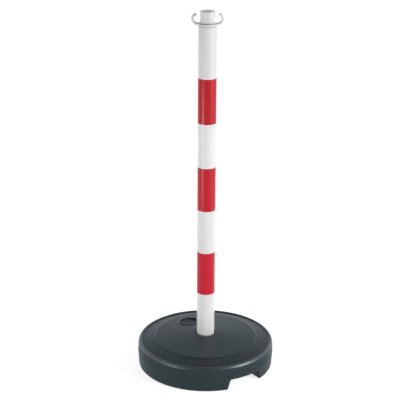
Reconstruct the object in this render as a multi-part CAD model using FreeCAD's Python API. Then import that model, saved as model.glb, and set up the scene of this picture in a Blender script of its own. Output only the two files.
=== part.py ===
import FreeCAD, Part
import math
import os

# Chain barrier post: a tall round tube that stands in a hollow base filled with ballast, with a
# two-hook head on top. Millimetres. The origin is the middle of the base's foot, +Z is up, the
# hooks point along +X and -X, and -Y is the side with the front hand grip.

Vector = FreeCAD.Vector
UP = Vector(0, 0, 1)
ORIGIN = Vector(0, 0, 0)

# ---- fits and walls --------------------------------------------------------------------------
RUNNING_GAP = 0.06             # radial clearance of everything that slides or turns
SEAT_GAP = 0.05                # clearance between faces that rest on each other
WALL = 3.0                     # the base's moulded wall
OVERLAP = 1.0                  # how far a cutting body runs past the face that it opens
TOUCHING = 0.001               # closer than this counts as lying on a face

# ---- post tube and its colour bands ----------------------------------------------------------
TUBE_R = 20.0                  # standard 40 mm plastic pipe
TUBE_WALL = 2.0
TUBE_TOP_Z = 786.5
TUBE_CHAMFER = 0.4
BAND_HEIGHT = 100.0            # coloured and plain stretches are equally tall
FIRST_BAND_Z = 174.0
BAND_NAMES = ("red_band_lower", "red_band_middle", "red_band_upper")
FILM = 0.25
GLUE_LINE = 0.02

# ---- base ------------------------------------------------------------------------------------
FOOT_R = 153.5
FOOT_ROUND = 3.0
UNDERSIDE_LIFT = 4.0           # the underside stands on a ring, and its middle is raised
UNDERSIDE_R = 100.0
PARTING_R = 155.0              # the mould halves meet at the widest radius
PARTING_Z = 33.0
PARTING_RIDGE = 0.35
PARTING_HALF = 0.8
SHOULDER_R = 154.6
SHOULDER_Z = 49.0
SHOULDER_ROUND = 10.5
BEAD_ROUND = 4.0               # crest of the rim, tighter than the shoulder below it
BEAD_START = 45.0              # angles above the outward direction, where the crest's arc
BEAD_END = 140.0               # starts and ends
GROOVE_ROUND = 1.5             # shallow groove inside the rim
BORDER_SLOPE = 14.0
STEP_R = 119.0                 # low step between the sloping border and the middle
STEP_RISE = 2.0
STEP_RUN = 4.0
CROWN_R = 25.5                 # the middle rises gently to the socket's mouth
CROWN_Z = 73.0

# ---- socket that holds the tube --------------------------------------------------------------
SOCKET_R = TUBE_R + RUNNING_GAP
SOCKET_FLOOR_Z = 8.0
SOCKET_WALL_R = SOCKET_R + 4.0
MOUTH_R = 22.2                 # the bore widens here, and its edge flares out on to the crown
MOUTH_DEPTH = 6.0
FLARE_DEPTH = 2.0
FLARE_BULGE = (0.9, 0.7)       # how far the flare's middle lies outside MOUTH_R and below CROWN_Z
FLARE_LAND = 0.01

# ---- filler opening and its plug -------------------------------------------------------------
FILLER_X = -38.5
FILLER_Y = 65.0
RECESS_R = 20.6
RECESS_FLOOR_Z = 62.0
RECESS_EDGE = 0.8
LIP_R = 28.5                   # raised collar round the recess, square to the sloping top
LIP_CREST_R = 23.0
LIP_RISE = 1.4
LIP_BULGE_RISE = 1.0           # height of the collar halfway down its outer slope
LIP_ROOT = 4.0
NECK_R = 15.0
NECK_FOOT_Z = 48.0
PLUG_DISC_R = 18.2
PLUG_DISC = 3.5
PLUG_EDGE = 0.8
PLUG_DISH = 0.6
PLUG_DISH_R = 14.0
PLUG_SHANK_R = 14.5
PLUG_SHANK_WALL = 2.0
PLUG_CHAMFER = 1.0
PLUG_FOOT_Z = 49.5
PLUG_RIB = 1.6
PLUG_RIB_HEIGHTS = (52.5, 57.5)

# ---- hand grips under the base's edge --------------------------------------------------------
GRIP_WIDTH = 90.0              # at the floor
GRIP_HEIGHT = 24.5
GRIP_DRAFT = 14.0              # degrees by which each end wall leans inward on its way up
GRIP_BACK_R = 112.0            # distance of the grip's back wall from the axis
GRIP_ROUND = 2.5
GRIP_EDGE = 1.5                # rounding of each grip's mouth
GRIP_ANGLES = (-53.6, 126.4)   # front right and the opposite side

# ---- ballast ---------------------------------------------------------------------------------
BALLAST_LEVEL = 42.0
BALLAST_GAP = 0.3

# ---- head ------------------------------------------------------------------------------------
HEAD_STAND_OFF = 1.0           # a smaller collar holds the flange just clear of the tube
COLLAR_R = 18.7
FLANGE = 4.0
FLANGE_EDGE = 0.7
CUP_R = 16.0
CUP_WALL = 2.0
CUP_FLOOR = 2.5
CUP_TOP_Z = 818.0
CUP_LIP = 0.6
CUP_ROOT = 1.0                 # inside corner between the cup and the flange
CUP_ROOT_BULGE = 0.3
SPIGOT_LENGTH = 28.0
SPIGOT_WALL = 2.0
SPIGOT_CHAMFER = 1.0
SPIGOT_DOME = 2.0              # the spigot's hollow ends in a shallow cone
HOOK_ROD_R = 3.3
HOOK_SINK = 0.5                # the rods lie this much below the flange's lower face
HOOK_ROOT_X = 15.0
HOOK_ROOT_ROUND = 1.0
HOOK_CENTRE_X = 22.0
HOOK_ARC_R = 10.4
HOOK_TIP_ANGLE = 65.0          # above the horizontal through the arc's centre


# ---- helpers ---------------------------------------------------------------------------------
def save(name, shape):
    shape.exportStep(os.path.join("parts", name + ".step"))


def disc(radius, low, high, x=0.0, y=0.0):
    """An upright cylinder between two heights."""
    return Part.makeCylinder(radius, high - low, Vector(x, y, low), UP)


def arc_point(centre, radius, angle):
    """The point (r, z) on a circle at an angle in degrees above the outward direction."""
    turn = math.radians(angle)
    return centre[0] + radius * math.cos(turn), centre[1] + radius * math.sin(turn)


def turned(outline):
    """Revolves a closed outline about the Z axis.

    Each point is (r, z), reached by a straight line, or (r, z, bulge_r, bulge_z), reached by an
    arc through the second pair. The last point is joined to the first.
    """
    edges = []
    here = Vector(outline[0][0], 0, outline[0][1])
    for point in outline[1:] + [outline[0][:2]]:
        there = Vector(point[0], 0, point[1])
        if len(point) == 4:
            edges.append(Part.Arc(here, Vector(point[2], 0, point[3]), there).toShape())
        else:
            edges.append(Part.LineSegment(here, there).toShape())
        here = there
    return Part.Face(Part.Wire(edges)).revolve(ORIGIN, UP, 360)


def middle_of(edge):
    return edge.valueAt((edge.FirstParameter + edge.LastParameter) / 2)


def lies_on(edge, shape):
    """Whether an edge's middle lies on a shape's surface."""
    spot = Part.Vertex(middle_of(edge))
    return any(face.distToShape(spot)[0] < TOUCHING for face in shape.Faces)


# ---- post ------------------------------------------------------------------------------------
def post_tube():
    outer, inner = TUBE_R, TUBE_R - TUBE_WALL
    low, high, cut = SOCKET_FLOOR_Z + SEAT_GAP, TUBE_TOP_Z, TUBE_CHAMFER
    return turned([(inner, low), (outer - cut, low), (outer, low + cut),
                   (outer, high - cut), (outer - cut, high), (inner, high)])


def colour_band(number):
    """A band of coloured film round the tube, counted from the foot."""
    low = FIRST_BAND_Z + number * 2 * BAND_HEIGHT
    inner = TUBE_R + GLUE_LINE
    sleeve = disc(inner + FILM, low, low + BAND_HEIGHT)
    return sleeve.cut(disc(inner, low - OVERLAP, low + BAND_HEIGHT + OVERLAP))


# ---- base ------------------------------------------------------------------------------------
SHOULDER = (SHOULDER_R - SHOULDER_ROUND, SHOULDER_Z)
BEAD = arc_point(SHOULDER, SHOULDER_ROUND - BEAD_ROUND, BEAD_START)
GROOVE = arc_point(BEAD, BEAD_ROUND + GROOVE_ROUND, BEAD_END)
BORDER = arc_point(GROOVE, GROOVE_ROUND, -90 - BORDER_SLOPE)
STEP_Z = BORDER[1] + (BORDER[0] - STEP_R) * math.tan(math.radians(BORDER_SLOPE))


def base_outside():
    """The moulding's outer form, still without its grips and openings."""
    foot = (FOOT_R - FOOT_ROUND, FOOT_ROUND)
    bead_middle = (BEAD_START + BEAD_END) / 2
    groove_middle = (BEAD_END - 180 - 90 - BORDER_SLOPE) / 2
    return turned([
        (0, UNDERSIDE_LIFT), (UNDERSIDE_R, UNDERSIDE_LIFT),
        (UNDERSIDE_R + UNDERSIDE_LIFT, 0), (foot[0], 0),
        (FOOT_R, FOOT_ROUND) + arc_point(foot, FOOT_ROUND, -45),
        (PARTING_R, PARTING_Z - PARTING_HALF),
        (PARTING_R, PARTING_Z + PARTING_HALF, PARTING_R + PARTING_RIDGE, PARTING_Z),
        (SHOULDER_R, SHOULDER_Z),
        arc_point(SHOULDER, SHOULDER_ROUND, BEAD_START)
        + arc_point(SHOULDER, SHOULDER_ROUND, BEAD_START / 2),
        arc_point(BEAD, BEAD_ROUND, BEAD_END) + arc_point(BEAD, BEAD_ROUND, bead_middle),
        BORDER + arc_point(GROOVE, GROOVE_ROUND, groove_middle),
        (STEP_R, STEP_Z),
        (STEP_R - STEP_RUN / 2, STEP_Z + STEP_RISE / 2,
         STEP_R - STEP_RUN / 3, STEP_Z + STEP_RISE / 4),
        (STEP_R - STEP_RUN, STEP_Z + STEP_RISE,
         STEP_R - STEP_RUN * 2 / 3, STEP_Z + STEP_RISE * 3 / 4),
        (CROWN_R, CROWN_Z),
        (0, CROWN_Z),
    ])


def base_inside(gap):
    """The hollow in the moulding, kept a further gap away from its wall."""
    inset = WALL + gap
    round_in = SHOULDER_ROUND - inset
    ceiling = GROOVE[1] - GROOVE_ROUND - inset
    turn = math.degrees(math.asin((ceiling - SHOULDER_Z) / round_in))
    return turned([
        (0, UNDERSIDE_LIFT + inset), (UNDERSIDE_R, UNDERSIDE_LIFT + inset),
        (UNDERSIDE_R + UNDERSIDE_LIFT, inset), (FOOT_R - FOOT_ROUND - inset, inset),
        (FOOT_R - inset, FOOT_ROUND + inset), (PARTING_R - inset, PARTING_Z),
        (SHOULDER_R - inset, SHOULDER_Z),
        arc_point(SHOULDER, round_in, turn) + arc_point(SHOULDER, round_in, turn / 2),
        (BORDER[0] - inset, ceiling),
        (STEP_R - inset, STEP_Z - inset),
        (CROWN_R, CROWN_Z - inset), (0, CROWN_Z - inset),
    ])


def grip_block(angle, grow):
    """The space of one hand grip, grown by the same amount on its ends, top and back."""
    lean = math.radians(GRIP_DRAFT)
    low, top = -OVERLAP, GRIP_HEIGHT + grow
    half = GRIP_WIDTH / 2 + grow / math.cos(lean)
    wide, narrow = half - low * math.tan(lean), half - top * math.tan(lean)
    back = GRIP_BACK_R - grow
    corners = [(-wide, low), (wide, low), (narrow, top), (-narrow, top), (-wide, low)]
    outline = Part.makePolygon([Vector(back, y, z) for y, z in corners])
    block = Part.Face(outline).extrude(Vector(PARTING_R + OVERLAP - back, 0, 0))
    upper = [edge for edge in block.Edges
             if middle_of(edge).z > top - TOUCHING and abs(middle_of(edge).y) > narrow - TOUCHING]
    block = block.makeFillet(GRIP_ROUND + grow, upper)
    block.rotate(ORIGIN, UP, angle)
    return block


def filler_lip():
    """The low collar that rings the filler recess, lying on the base's conical top."""
    collar = turned([
        (0, -LIP_ROOT), (LIP_R, -LIP_ROOT), (LIP_R, -LIP_RISE / 2),
        (LIP_CREST_R, LIP_RISE, (LIP_R + LIP_CREST_R) / 2, LIP_BULGE_RISE),
        (0, LIP_RISE),
    ])
    fall = CROWN_Z - STEP_Z - STEP_RISE
    run = STEP_R - STEP_RUN - CROWN_R
    reach = math.hypot(FILLER_X, FILLER_Y)
    height = CROWN_Z - fall * (reach - CROWN_R) / run
    tangent = Vector(-FILLER_Y, FILLER_X, 0)
    collar.rotate(ORIGIN, tangent, math.degrees(math.atan2(fall, run)))
    collar.translate(Vector(FILLER_X, FILLER_Y, height))
    return collar


def inner_walls(gap):
    """Everything that stands inside the hollow: socket, filler well and grip walls."""
    socket = disc(SOCKET_WALL_R + gap, 0, CROWN_Z)
    well = disc(RECESS_R + WALL + gap, RECESS_FLOOR_Z - WALL - gap, CROWN_Z, FILLER_X, FILLER_Y)
    neck = disc(NECK_R + WALL + gap, NECK_FOOT_Z - gap, CROWN_Z, FILLER_X, FILLER_Y)
    grips = [grip_block(angle, WALL + gap) for angle in GRIP_ANGLES]
    return [socket, well, neck] + grips


def socket_bore():
    """The blind bore for the tube, with a flared mouth."""
    flare = CROWN_Z - MOUTH_DEPTH
    return turned([
        (0, SOCKET_FLOOR_Z), (SOCKET_R, SOCKET_FLOOR_Z), (SOCKET_R, flare),
        (MOUTH_R, flare + MOUTH_DEPTH / 3), (MOUTH_R, CROWN_Z - FLARE_DEPTH),
        (CROWN_R, CROWN_Z + FLARE_LAND, MOUTH_R + FLARE_BULGE[0], CROWN_Z - FLARE_BULGE[1]),
        (CROWN_R, CROWN_Z + OVERLAP), (0, CROWN_Z + OVERLAP),
    ])


def with_grips(body):
    """Cuts the two hand grips and rounds the edges where they open in the side wall."""
    blocks = [grip_block(angle, 0) for angle in GRIP_ANGLES]
    body = body.cut(blocks)
    mouth = [edge for edge in body.Edges
             if Vector(*middle_of(edge)[:2], 0).Length > FOOT_R - FOOT_ROUND
             and any(lies_on(edge, block) for block in blocks)]
    return body.makeFillet(GRIP_EDGE, mouth)


def with_recess(body):
    """Adds the filler's collar and recess, with a rounded edge between them."""
    recess = disc(RECESS_R, RECESS_FLOOR_Z, CROWN_Z + OVERLAP, FILLER_X, FILLER_Y)
    body = body.fuse(filler_lip()).cut(recess)
    rim = [edge for edge in body.Edges
           if middle_of(edge).z > RECESS_FLOOR_Z + OVERLAP and lies_on(edge, recess)]
    return body.makeFillet(RECESS_EDGE, rim)


def base_shell():
    body = with_recess(with_grips(base_outside()))
    body = body.cut(base_inside(0).cut(inner_walls(0)))
    neck = disc(NECK_R, NECK_FOOT_Z - OVERLAP, RECESS_FLOOR_Z + OVERLAP, FILLER_X, FILLER_Y)
    return body.cut([socket_bore(), neck]).removeSplitter()


def sand_ballast():
    """The fill, lying in the hollow up to a level surface."""
    room = base_inside(BALLAST_GAP).common(disc(PARTING_R, 0, BALLAST_LEVEL))
    return room.cut(inner_walls(BALLAST_GAP)).removeSplitter()


# ---- filler plug -----------------------------------------------------------------------------
def filler_plug():
    """A push-in plug: a flat disc on a hollow shank with two sealing ribs."""
    low = RECESS_FLOOR_Z + SEAT_GAP
    high = low + PLUG_DISC
    hollow = PLUG_SHANK_R - PLUG_SHANK_WALL
    sealing = NECK_R - RUNNING_GAP
    shank = []
    for height in PLUG_RIB_HEIGHTS:
        shank += [(PLUG_SHANK_R, height - PLUG_RIB),
                  (PLUG_SHANK_R, height + PLUG_RIB, sealing, height)]
    plug = turned([
        (0, low - WALL), (hollow, low - WALL), (hollow, PLUG_FOOT_Z),
        (PLUG_SHANK_R - PLUG_CHAMFER, PLUG_FOOT_Z), (PLUG_SHANK_R, PLUG_FOOT_Z + PLUG_CHAMFER),
    ] + shank + [
        (PLUG_SHANK_R, low), (PLUG_DISC_R, low), (PLUG_DISC_R, high - PLUG_EDGE),
        (PLUG_DISC_R - PLUG_EDGE, high) + arc_point(
            (PLUG_DISC_R - PLUG_EDGE, high - PLUG_EDGE), PLUG_EDGE, 45),
        (PLUG_DISH_R + PLUG_DISH, high), (PLUG_DISH_R, high - PLUG_DISH), (0, high - PLUG_DISH),
    ])
    plug.translate(Vector(FILLER_X, FILLER_Y, 0))
    return plug


# ---- head ------------------------------------------------------------------------------------
def chain_hook(side):
    """An open C-shaped hook that leaves the flange and curls up and back towards the cup."""
    rod_z = TUBE_TOP_Z + HEAD_STAND_OFF - HOOK_SINK + HOOK_ROD_R
    centre = (HOOK_CENTRE_X, rod_z + HOOK_ARC_R)
    middle = arc_point(centre, HOOK_ARC_R, (HOOK_TIP_ANGLE - 90) / 2)
    tip = arc_point(centre, HOOK_ARC_R, HOOK_TIP_ANGLE)
    root = Vector(side * HOOK_ROOT_X, 0, rod_z)
    bend = Vector(side * HOOK_CENTRE_X, 0, rod_z)
    end = Vector(side * tip[0], 0, tip[1])
    path = Part.Wire([
        Part.LineSegment(root, bend).toShape(),
        Part.Arc(bend, Vector(side * middle[0], 0, middle[1]), end).toShape(),
    ])
    section = Part.Wire(Part.makeCircle(HOOK_ROD_R, root, Vector(side, 0, 0)))
    rod = path.makePipeShell([section], True, False)
    return rod.fuse(Part.makeSphere(HOOK_ROD_R, end))


def hook_head():
    """One moulding: spigot, seating collar, flange, open cup and two hooks."""
    flange_z = TUBE_TOP_Z + HEAD_STAND_OFF
    flange_top = flange_z + FLANGE
    spigot_r = TUBE_R - TUBE_WALL - RUNNING_GAP
    spigot_hollow = spigot_r - SPIGOT_WALL
    spigot_foot = TUBE_TOP_Z - SPIGOT_LENGTH
    edge, lip = FLANGE_EDGE, CUP_LIP
    core = turned([
        (0, flange_z), (spigot_hollow, flange_z - SPIGOT_DOME), (spigot_hollow, spigot_foot),
        (spigot_r - SPIGOT_CHAMFER, spigot_foot), (spigot_r, spigot_foot + SPIGOT_CHAMFER),
        (spigot_r, TUBE_TOP_Z + SEAT_GAP), (COLLAR_R, TUBE_TOP_Z + SEAT_GAP),
        (COLLAR_R, flange_z), (TUBE_R - edge, flange_z),
        (TUBE_R, flange_z + edge) + arc_point((TUBE_R - edge, flange_z + edge), edge, -45),
        (TUBE_R, flange_top - edge),
        (TUBE_R - edge, flange_top) + arc_point((TUBE_R - edge, flange_top - edge), edge, 45),
        (CUP_R + CUP_ROOT, flange_top),
        (CUP_R, flange_top + CUP_ROOT, CUP_R + CUP_ROOT_BULGE, flange_top + CUP_ROOT_BULGE),
        (CUP_R, CUP_TOP_Z - lip),
        (CUP_R - lip, CUP_TOP_Z) + arc_point((CUP_R - lip, CUP_TOP_Z - lip), lip, 45),
        (0, CUP_TOP_Z),
    ])
    hooks = [chain_hook(1), chain_hook(-1)]
    head = core.fuse(hooks)
    roots = [edge for edge in head.Edges
             if middle_of(edge).z > flange_top - FLANGE_EDGE - TOUCHING and lies_on(edge, core)
             and any(lies_on(edge, hook) for hook in hooks)]
    head = head.makeFillet(HOOK_ROOT_ROUND, roots)
    cup_r = CUP_R - CUP_WALL
    head = head.cut(disc(cup_r, flange_z + CUP_FLOOR, CUP_TOP_Z + OVERLAP))
    return head.removeSplitter()


# ---- the whole object ------------------------------------------------------------------------
os.makedirs("parts", exist_ok=True)
save("base_shell", base_shell())
save("sand_ballast", sand_ballast())
save("filler_plug", filler_plug())
save("post_tube", post_tube())
for number, band_name in enumerate(BAND_NAMES):
    save(band_name, colour_band(number))
save("hook_head", hook_head())
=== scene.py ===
import math

import bpy
from mathutils import Matrix, Vector


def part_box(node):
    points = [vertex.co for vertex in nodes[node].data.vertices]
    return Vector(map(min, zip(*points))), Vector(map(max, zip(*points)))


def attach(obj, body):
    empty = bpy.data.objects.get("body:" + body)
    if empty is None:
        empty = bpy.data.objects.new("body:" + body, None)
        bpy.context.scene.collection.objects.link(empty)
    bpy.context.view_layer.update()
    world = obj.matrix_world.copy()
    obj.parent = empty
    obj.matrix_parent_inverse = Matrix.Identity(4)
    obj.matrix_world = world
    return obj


# A chain barrier post in a pale studio. Everything is in metres, in the CAD model's own frame:
# +Z is up, the two hooks lie along X, and the camera stands on the -Y side.

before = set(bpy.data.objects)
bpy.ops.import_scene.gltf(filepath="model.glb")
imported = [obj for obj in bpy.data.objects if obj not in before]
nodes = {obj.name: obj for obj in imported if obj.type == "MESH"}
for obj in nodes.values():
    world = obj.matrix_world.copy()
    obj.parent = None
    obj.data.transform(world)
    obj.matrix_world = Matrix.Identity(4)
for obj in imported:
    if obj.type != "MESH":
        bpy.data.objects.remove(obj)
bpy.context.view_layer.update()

MM = 0.001

# ---- places on the object --------------------------------------------------------------------
SIDE_TOP = 50 * MM             # the base's dull side wall ends at this height,
RIM_FOOT = 55.5 * MM           # and its glossier rim begins at this one
RIM_INNER_R = 144 * MM         # the rim's gloss grows from this radius
RIM_OUTER_R = 149 * MM         # out to this one
GROOVE_R = 144.4 * MM          # shallow groove inside the rim, where dust settles
GROOVE_REACH = 3.0 * MM
GROOVE_CLEAR_Z = 54 * MM       # only surfaces that lie higher than this gather dust fully
SPLASH_Z = 6 * MM              # the foot is dusty up to here
CUP_R = 16.0 * MM              # outside of the head's cup
CUP_BORE_R = (13.9 * MM, 14.2 * MM)
LAP_STARTS = {"red_band_lower": 88.0, "red_band_middle": 93.0, "red_band_upper": 81.0}
LAP_WIDTH = 9.0                # degrees round the post; each band of film laps over its own start
LAP_STEPS = 6
LAP_DEPTH = 0.20 * MM          # how far a lap stands off the film that it covers


# ---- shader helper ---------------------------------------------------------------------------
class Shader:
    """One procedural material: adds nodes, joins them, and keeps the final surface shader."""

    def __init__(self, name):
        self.material = bpy.data.materials.new(name)
        self.material.use_nodes = True
        self.tree = self.material.node_tree
        self.tree.nodes.clear()
        output = self.tree.nodes.new("ShaderNodeOutputMaterial")
        self.surface = self.tree.nodes.new("ShaderNodeBsdfPrincipled")
        self.join(self.surface.outputs[0], output.inputs["Surface"])
        self.place = self.tree.nodes.new("ShaderNodeTexCoord").outputs["Object"]
        split = self.tree.nodes.new("ShaderNodeSeparateXYZ")
        self.join(self.place, split.inputs[0])
        self.x, self.y, self.z = split.outputs

    def join(self, source, target):
        """Feeds a socket from another socket, or sets it to a plain value."""
        if isinstance(source, bpy.types.NodeSocket):
            self.tree.links.new(source, target)
        else:
            target.default_value = source

    def set(self, **values):
        """Sets sockets of the surface shader, such as base_color=..., roughness=...."""
        for key, value in values.items():
            name = key.replace("_", " ").title().replace("Ior", "IOR")
            self.join(value, self.surface.inputs[name])

    def math(self, operation, first, second=0.0, third=0.0):
        """One step of arithmetic on sockets or plain numbers."""
        node = self.tree.nodes.new("ShaderNodeMath")
        node.operation = operation
        for value, socket in zip((first, second, third), node.inputs):
            self.join(value, socket)
        return node.outputs[0]

    def times(self, first, second):
        return self.math("MULTIPLY", first, second)

    def about(self, middle, swing, value):
        """A value from 0 to 1 turned into middle .. middle + swing."""
        return self.math("MULTIPLY_ADD", value, swing, middle)

    def stretch(self, scale, turn=(0, 0, 0)):
        """The object's own coordinates, scaled and turned about each axis."""
        node = self.tree.nodes.new("ShaderNodeMapping")
        self.join(self.place, node.inputs["Vector"])
        node.inputs["Rotation"].default_value = turn
        node.inputs["Scale"].default_value = scale
        return node.outputs[0]

    def noise(self, scale, detail=3.0, roughness=0.5, distortion=0.0, where=None):
        """Fractal noise from 0 to 1; scale is in lumps per metre."""
        node = self.tree.nodes.new("ShaderNodeTexNoise")
        self.join(where or self.place, node.inputs["Vector"])
        node.inputs["Scale"].default_value = scale
        node.inputs["Detail"].default_value = detail
        node.inputs["Roughness"].default_value = roughness
        node.inputs["Distortion"].default_value = distortion
        return node.outputs["Fac"]

    def cells(self, scale):
        """Distance to the nearest of many scattered points; scale is in points per metre."""
        node = self.tree.nodes.new("ShaderNodeTexVoronoi")
        self.join(self.place, node.inputs["Vector"])
        node.inputs["Scale"].default_value = scale
        return node.outputs["Distance"]

    def span(self, value, low, high, first=0.0, last=1.0):
        """Maps low..high smoothly to first..last and stays there outside."""
        node = self.tree.nodes.new("ShaderNodeMapRange")
        node.interpolation_type = "SMOOTHSTEP"
        for number, socket in zip((value, low, high, first, last), node.inputs):
            self.join(number, socket)
        return node.outputs[0]

    def near(self, value, centre, reach):
        """1 at the centre, falling smoothly to 0 at a distance of reach."""
        distance = self.math("ABSOLUTE", self.math("SUBTRACT", value, centre))
        return self.span(distance, 0.0, reach, 1.0, 0.0)

    def mix(self, factor, first, second):
        """Blends two colours."""
        node = self.tree.nodes.new("ShaderNodeMix")
        node.data_type = "RGBA"
        self.join(factor, node.inputs["Factor"])
        for value, index in ((first, 6), (second, 7)):
            value = value if isinstance(value, bpy.types.NodeSocket) else (*value, 1.0)
            self.join(value, node.inputs[index])
        return node.outputs[2]

    def stain(self, under, mask, strength, colour):
        """Lays a colour over another where the mask is 1, covering it by the strength."""
        return self.mix(self.times(mask, strength), under, colour)

    def bump(self, height, depth, under=None):
        """Adds relief: height from 0 to 1 stands for depth in metres."""
        node = self.tree.nodes.new("ShaderNodeBump")
        node.inputs["Strength"].default_value = 1.0
        node.inputs["Distance"].default_value = depth
        self.join(height, node.inputs["Height"])
        if under is not None:
            self.join(under, node.inputs["Normal"])
        return node.outputs["Normal"]

    def radius(self, x=0.0, y=0.0):
        """Distance from an upright axis."""
        dx = self.math("SUBTRACT", self.x, x)
        dy = self.math("SUBTRACT", self.y, y)
        return self.math("SQRT", self.math("ADD", self.times(dx, dx), self.times(dy, dy)))

    def scratches(self, scale, turn, amount):
        """Sparse thin hairlines, 1 on a line and 0 elsewhere."""
        streaks = self.stretch((scale, scale * 0.035, scale * 0.3), turn)
        lines = self.noise(1.0, 2.0, 0.6, 0.4, streaks)
        patches = self.noise(scale * 0.02, 2.0)
        hairline = self.span(lines, 0.74 - amount, 0.78 - amount)
        return self.times(hairline, self.span(patches, 0.45, 0.6))


def paint(node_name, shader):
    """Gives a CAD node one material."""
    slots = nodes[node_name].data.materials
    slots.clear()
    slots.append(shader.material)


# ---- materials -------------------------------------------------------------------------------
def base_plastic():
    """Anthracite blow-moulded polyethylene: moulded grain, wavy walls, dust and light scuffs."""
    s = Shader("base_plastic")
    above_side = s.span(s.z, SIDE_TOP, RIM_FOOT)
    rim = s.span(s.radius(), RIM_INNER_R, RIM_OUTER_R)

    tint = s.noise(9.0, 4.0, 0.55)
    # Painted light: the side wall is coloured lighter than the top, though both are the same plastic.
    side = s.mix(tint, (0.0250, 0.0372, 0.0405), (0.0300, 0.0442, 0.0480))
    top = s.mix(tint, (0.0180, 0.0305, 0.0330), (0.0220, 0.0365, 0.0390))
    colour = s.mix(above_side, side, top)
    fleck = s.span(s.noise(420.0, 2.0, 0.7), 0.60, 0.75)
    colour = s.stain(colour, fleck, 0.25, (0.060, 0.068, 0.074))
    scuff = s.math("MAXIMUM", s.scratches(900.0, (0.05, 0.10, 0.8), 0.04),
                   s.scratches(620.0, (0.0, -0.15, -0.5), 0.02))
    colour = s.stain(colour, scuff, 0.22, (0.13, 0.135, 0.14))

    patch = s.noise(60.0, 4.0, 0.6)
    groove = s.times(s.near(s.radius(), GROOVE_R, GROOVE_REACH), s.span(s.z, SIDE_TOP, GROOVE_CLEAR_Z))
    dust = s.times(groove, s.span(patch, 0.35, 0.75))
    colour = s.stain(colour, dust, 0.20, (0.20, 0.19, 0.17))
    foot = s.times(s.span(s.z, 0.0, SPLASH_Z, 1.0, 0.0), s.span(patch, 0.40, 0.60))
    colour = s.stain(colour, foot, 0.5, (0.12, 0.12, 0.12))

    gloss = s.about(s.span(rim, 0.0, 1.0, 0.30, 0.35), 0.08, s.noise(14.0, 3.0))
    gloss = s.math("ADD", gloss, s.times(dust, 0.25))
    sheen = s.span(s.z, SIDE_TOP, RIM_FOOT, 0.10, s.span(rim, 0.0, 1.0, 0.52, 1.0))
    ior = s.span(s.z, SIDE_TOP, RIM_FOOT, 1.34, s.span(rim, 0.0, 1.0, 1.50, 1.76))

    waves = s.bump(s.noise(14.0, 1.0, 0.4), 0.20 * MM)
    orange_peel = s.bump(s.noise(230.0, 2.0, 0.5), 0.008 * MM, waves)
    grain = s.bump(s.noise(1500.0, 3.0, 0.65), 0.014 * MM, orange_peel)
    s.set(base_color=colour, roughness=gloss, normal=s.bump(scuff, 0.01 * MM, grain), ior=ior,
          specular_ior_level=sheen, specular_tint=(0.83, 0.905, 1.0, 1.0))
    return s


def plug_plastic():
    """The plug: the same colour, injection moulded, with faint turned rings on its face."""
    s = Shader("plug_plastic")
    ring_pitch = 0.8 * MM
    colour = s.mix(s.noise(60.0, 3.0), (0.010, 0.023, 0.030), (0.016, 0.032, 0.040))
    low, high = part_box("filler_plug")
    centre = (low + high) / 2
    ring = s.math("SINE", s.times(s.radius(centre.x, centre.y), 2 * math.pi / ring_pitch))
    rings = s.bump(s.about(0.5, 0.5, ring), 0.006 * MM)
    grain = s.bump(s.noise(1900.0, 2.0, 0.6), 0.012 * MM, rings)
    s.set(base_color=colour, roughness=s.about(0.38, 0.12, s.noise(90.0)), normal=grain)
    return s


def white_tube():
    """Extruded white pipe: faint lengthwise draw lines and scuffs; painted light makes it lighter near
    its foot and painted shade darker near its top.
    """
    s = Shader("white_tube")
    low, high = (box.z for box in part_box("post_tube"))
    # Painted light and shade: the pipe's colour is lighter near the foot and darker near the top,
    # standing in for how the light falls along it.
    foot_light_fade = (low + 80 * MM, low + 220 * MM)
    crown_shade_fade = (high - 250 * MM, high - 80 * MM)
    draw_lines = s.noise(1.0, 3.0, 0.55, 0.0, s.stretch((900.0, 900.0, 3.0)))
    foot = s.mix(draw_lines, (0.800, 0.792, 0.788), (0.830, 0.822, 0.818))
    body = s.mix(draw_lines, (0.640, 0.634, 0.630), (0.665, 0.659, 0.655))
    # Painted shade: the darker colour near the top of the pipe.
    shaded_crown = s.mix(draw_lines, (0.565, 0.560, 0.559), (0.590, 0.585, 0.584))
    colour = s.mix(s.span(s.z, *foot_light_fade), foot, body)
    colour = s.mix(s.span(s.z, *crown_shade_fade), colour, shaded_crown)
    cloud = s.noise(22.0, 4.0, 0.55)
    colour = s.mix(s.span(cloud, 0.40, 0.85, 0.0, 0.35), colour, (0.62, 0.605, 0.585))
    scuff = s.scratches(620.0, (0.2, 1.2, 0.4), 0.03)
    colour = s.stain(colour, scuff, 0.35, (0.38, 0.37, 0.36))
    relief = s.bump(draw_lines, 0.010 * MM)
    relief = s.bump(s.noise(120.0, 2.0), 0.02 * MM, relief)
    s.set(base_color=colour, roughness=s.about(0.24, 0.10, s.noise(30.0, 3.0)),
          normal=s.bump(scuff, 0.008 * MM, relief), specular_ior_level=0.30)
    return s


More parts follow.
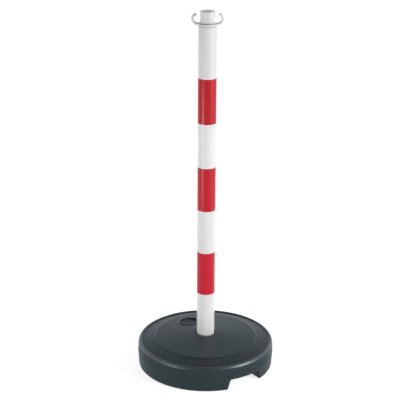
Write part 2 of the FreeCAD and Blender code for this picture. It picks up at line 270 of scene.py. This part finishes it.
def red_film():
    """Self-adhesive red film: glossy face, slight bubbles and wrinkles, rubbed edges; painted shade
    darkens it higher up and along the edges of each lap.
    """
    s = Shader("red_film")
    shade_from, shade_to = 0.20, 0.60        # heights between which painted shade darkens the film
    edge_reach = 1.2 * MM
    lap_shade_reach = 0.020                     # radians either side of a lap's edges, where painted shade lies
    # Painted shade: the film is coloured darker higher up than low down.
    lit_low_red = s.mix(s.noise(35.0, 3.0), (0.500, 0.004, 0.021), (0.540, 0.006, 0.025))
    shaded_high_red = s.mix(s.noise(35.0, 3.0), (0.390, 0.002, 0.009), (0.425, 0.003, 0.011))
    colour = s.mix(s.span(s.z, shade_from, shade_to), lit_low_red, shaded_high_red)
    colour = s.stain(colour, s.noise(2600.0, 1.0), 0.18, (0.40, 0.010, 0.018))
    scuff = s.scratches(700.0, (0.4, 1.0, 0.2), 0.03)
    colour = s.stain(colour, scuff, 0.30, (0.72, 0.25, 0.26))
    bearing = s.math("ARCTAN2", s.y, s.x)
    for name, start in LAP_STARTS.items():
        low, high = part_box(name)
        for edge in (low.z, high.z):
            rubbed = s.times(s.near(s.z, edge, edge_reach), s.span(s.noise(300.0), 0.5, 0.7))
            colour = s.stain(colour, rubbed, 0.35, (0.75, 0.35, 0.35))
        # Painted shade: a dark line along both edges of the lap, standing in for the shade at the
        # film's step.
        lap = s.math("MAXIMUM", s.near(bearing, math.radians(start), lap_shade_reach),
                     s.near(bearing, math.radians(start + LAP_WIDTH), lap_shade_reach))
        lap = s.times(lap, s.near(s.z, (low.z + high.z) / 2, high.z - low.z))
        colour = s.stain(colour, lap, 0.8, (0.10, 0.003, 0.006))
    wrinkle = s.bump(s.noise(1.0, 2.0, 0.5, 0.6, s.stretch((70.0, 70.0, 22.0))), 0.10 * MM)
    bubble = s.times(s.span(s.cells(260.0), 0.05, 0.22, 1.0, 0.0), s.span(s.noise(45.0), 0.58, 0.70))
    s.set(base_color=colour, roughness=s.about(0.20, 0.10, s.noise(80.0, 2.0)),
          normal=s.bump(bubble, 0.03 * MM, wrinkle), ior=1.33, specular_ior_level=0.40)
    return s


def head_plastic():
    """White injection moulding: satin grain, a parting line in the hooks' plane, slight grime; painted
    shade darkens the cup, and painted light brightens the arms and the bore.
    """
    s = Shader("head_plastic")
    off_cup = s.span(s.radius(), CUP_R - 0.5 * MM, CUP_R + 0.5 * MM)
    inside = s.span(s.radius(), *CUP_BORE_R, 1.0, 0.0)
    cloud = s.noise(120.0, 4.0, 0.6)
    # Painted shade and light: the cup is coloured darker and the hooks' arms lighter, though both are
    # the same moulding.
    cup = s.mix(cloud, (0.535, 0.528, 0.525), (0.570, 0.563, 0.560))
    arms = s.mix(cloud, (0.615, 0.607, 0.603), (0.645, 0.637, 0.633))
    colour = s.mix(off_cup, cup, arms)
    grime = s.span(s.noise(260.0, 3.0, 0.6), 0.60, 0.78)
    colour = s.stain(colour, grime, 0.16, (0.48, 0.465, 0.44))
    # Painted light: the bore inside the cup is coloured nearly white, standing in for light that fills
    # it.
    colour = s.mix(inside, colour, (0.88, 0.87, 0.86))
    parting = s.times(s.near(s.y, 0.0, 0.35 * MM), off_cup)
    relief = s.bump(parting, 0.12 * MM)
    relief = s.bump(s.noise(1700.0, 2.0, 0.6), 0.012 * MM, relief)
    s.set(base_color=colour, roughness=s.about(0.34, 0.12, cloud), normal=relief,
          subsurface_weight=1.0, subsurface_radius=(1.0, 0.96, 0.93), subsurface_scale=7.0 * MM)
    return s


def dry_sand():
    """Dry quartz sand: pale grains of mixed tan, grey and brown."""
    s = Shader("dry_sand")
    grain = s.noise(1400.0, 2.0, 0.7)
    colour = s.mix(s.span(grain, 0.3, 0.7), (0.30, 0.23, 0.15), (0.66, 0.56, 0.41))
    dark = s.span(s.noise(900.0, 1.0), 0.66, 0.72)
    colour = s.mix(dark, colour, (0.14, 0.11, 0.09))
    relief = s.bump(s.noise(40.0, 3.0), 2.0 * MM)
    s.set(base_color=colour, roughness=0.95, normal=s.bump(grain, 0.35 * MM, relief))
    return s


def studio_floor():
    """A white sweep, lit a little from beneath so that it stays white far behind the object."""
    s = Shader("studio_floor")
    colour = s.mix(s.noise(3.0, 2.0), (0.90, 0.90, 0.90), (0.92, 0.92, 0.92))
    glow = s.span(s.radius(), 0.6, 3.0, 0.74, 0.84)
    s.set(base_color=colour, roughness=0.9, emission_color=(1, 1, 1, 1), emission_strength=glow)
    return s


# ---- small pieces ----------------------------------------------------------------------------
def add_film_lap(band, start):
    """The end of a band of film, lapped over its own beginning at the back of the post."""
    low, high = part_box(band)
    inner, outer = high.x - LAP_DEPTH, high.x + LAP_DEPTH
    corners = ((inner, low.z), (outer, low.z), (outer, high.z), (inner, high.z))
    count = len(corners)
    points = []
    for step in range(LAP_STEPS + 1):
        turn = math.radians(start + LAP_WIDTH * step / LAP_STEPS)
        points += [(r * math.cos(turn), r * math.sin(turn), z) for r, z in corners]
    faces = [tuple(reversed(range(count))), tuple(count * LAP_STEPS + i for i in range(count))]
    for step in range(LAP_STEPS):
        here, ahead = count * step, count * (step + 1)
        for i in range(count):
            j = (i + 1) % count
            faces.append((here + i, here + j, ahead + j, ahead + i))
    mesh = bpy.data.meshes.new(band + "_lap")
    mesh.from_pydata(points, [], faces)
    lap = bpy.data.objects.new(band + "_lap", mesh)
    bpy.context.scene.collection.objects.link(lap)
    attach(lap, "post")
    return lap


# ---- studio ----------------------------------------------------------------------------------
CAMERA_SPOT = (-0.0031, -2.577, 1.3276)
CAMERA_PITCH = 19.91           # degrees below the horizontal
CAMERA_ROLL = 0.388
FOCAL_LENGTH = 108.5           # millimetres, as is the sensor's width
SENSOR_WIDTH = 36.0
CAMERA_REACH = 50.0
FLOOR_SIZE = 60
ROOM_TINT = (0.88, 0.96, 1.0, 1.0)

# name, azimuth, distance from the axis, height of the lower edge, (width, height), radiance
SOFTBOXES = (
    ("key_right", -25, 2.4, 0.12, (1.00, 1.55), 7.3),
    ("fill_left", -150, 2.8, 0.55, (2.0, 1.5), 1.20),
    ("strip_left", -141, 1.5, 0.01, (0.50, 0.16), 19.0),
)


def add_camera():
    data = bpy.data.cameras.new("camera")
    data.sensor_width = SENSOR_WIDTH
    data.lens = FOCAL_LENGTH
    data.clip_end = CAMERA_REACH
    camera = bpy.data.objects.new("camera", data)
    bpy.context.scene.collection.objects.link(camera)
    aim = Matrix.Rotation(math.radians(90 - CAMERA_PITCH), 4, "X")
    roll = Matrix.Rotation(math.radians(CAMERA_ROLL), 4, "Z")
    camera.matrix_world = Matrix.Translation(CAMERA_SPOT) @ aim @ roll
    bpy.context.scene.camera = camera


def add_softbox(name, azimuth, distance, foot, size, radiance):
    """An upright soft box that faces the object's axis; azimuth -90 is the camera's side."""
    turn = math.radians(azimuth)
    toward = Vector((math.cos(turn), math.sin(turn), 0))
    data = bpy.data.lights.new(name, "AREA")
    data.shape = "RECTANGLE"
    data.size, data.size_y = size
    data.energy = 4 * radiance * size[0] * size[1]
    lamp = bpy.data.objects.new(name, data)
    lamp.location = toward * distance + Vector((0, 0, foot + size[1] / 2))
    lamp.rotation_euler = toward.to_track_quat("Z", "Y").to_euler()
    bpy.context.scene.collection.objects.link(lamp)


def add_room_light():
    """A pale room: bright low down, dim overhead, and brighter behind the object than in front."""
    world = bpy.data.worlds.new("studio")
    world.use_nodes = True
    bpy.context.scene.world = world
    tree = world.node_tree
    background = tree.nodes["Background"]
    background.inputs["Color"].default_value = ROOM_TINT
    split = tree.nodes.new("ShaderNodeSeparateXYZ")
    direction = tree.nodes.new("ShaderNodeTexCoord").outputs["Generated"]
    tree.links.new(direction, split.inputs[0])
    depth, height = split.outputs[1], split.outputs[2]

    def ramp(source, low, high, first, last):
        node = tree.nodes.new("ShaderNodeMapRange")
        node.interpolation_type = "SMOOTHSTEP"
        tree.links.new(source, node.inputs[0])
        for number, socket in zip((low, high, first, last), node.inputs[1:5]):
            socket.default_value = number
        return node.outputs[0]

    front = ramp(height, 0.02, 0.15, 0.15, 0.05)
    rear = ramp(height, 0.10, 0.80, 0.82, 0.46)
    ceiling = ramp(height, 0.90, 1.00, 1.0, 0.10)
    behind = ramp(depth, -0.2, 0.5, 0.0, 1.0)
    blend = tree.nodes.new("ShaderNodeMix")
    tree.links.new(behind, blend.inputs["Factor"])
    tree.links.new(front, blend.inputs["A"])
    tree.links.new(rear, blend.inputs["B"])
    dimmed = tree.nodes.new("ShaderNodeMath")
    dimmed.operation = "MULTIPLY"
    tree.links.new(blend.outputs[0], dimmed.inputs[0])
    tree.links.new(ceiling, dimmed.inputs[1])
    tree.links.new(dimmed.outputs[0], background.inputs["Strength"])


def add_studio():
    bpy.context.scene.view_settings.view_transform = "Standard"
    add_room_light()
    for softbox in SOFTBOXES:
        add_softbox(*softbox)
    bpy.ops.mesh.primitive_plane_add(size=FLOOR_SIZE)
    floor = bpy.context.object
    floor.name = "floor"
    floor.data.materials.append(studio_floor().material)


# ---- the scene -------------------------------------------------------------------------------
add_camera()
add_studio()

paint("base_shell", base_plastic())
paint("filler_plug", plug_plastic())
paint("sand_ballast", dry_sand())
paint("post_tube", white_tube())
film = red_film()
for band, start in LAP_STARTS.items():
    paint(band, film)
    add_film_lap(band, start).data.materials.append(film.material)
paint("hook_head", head_plastic())
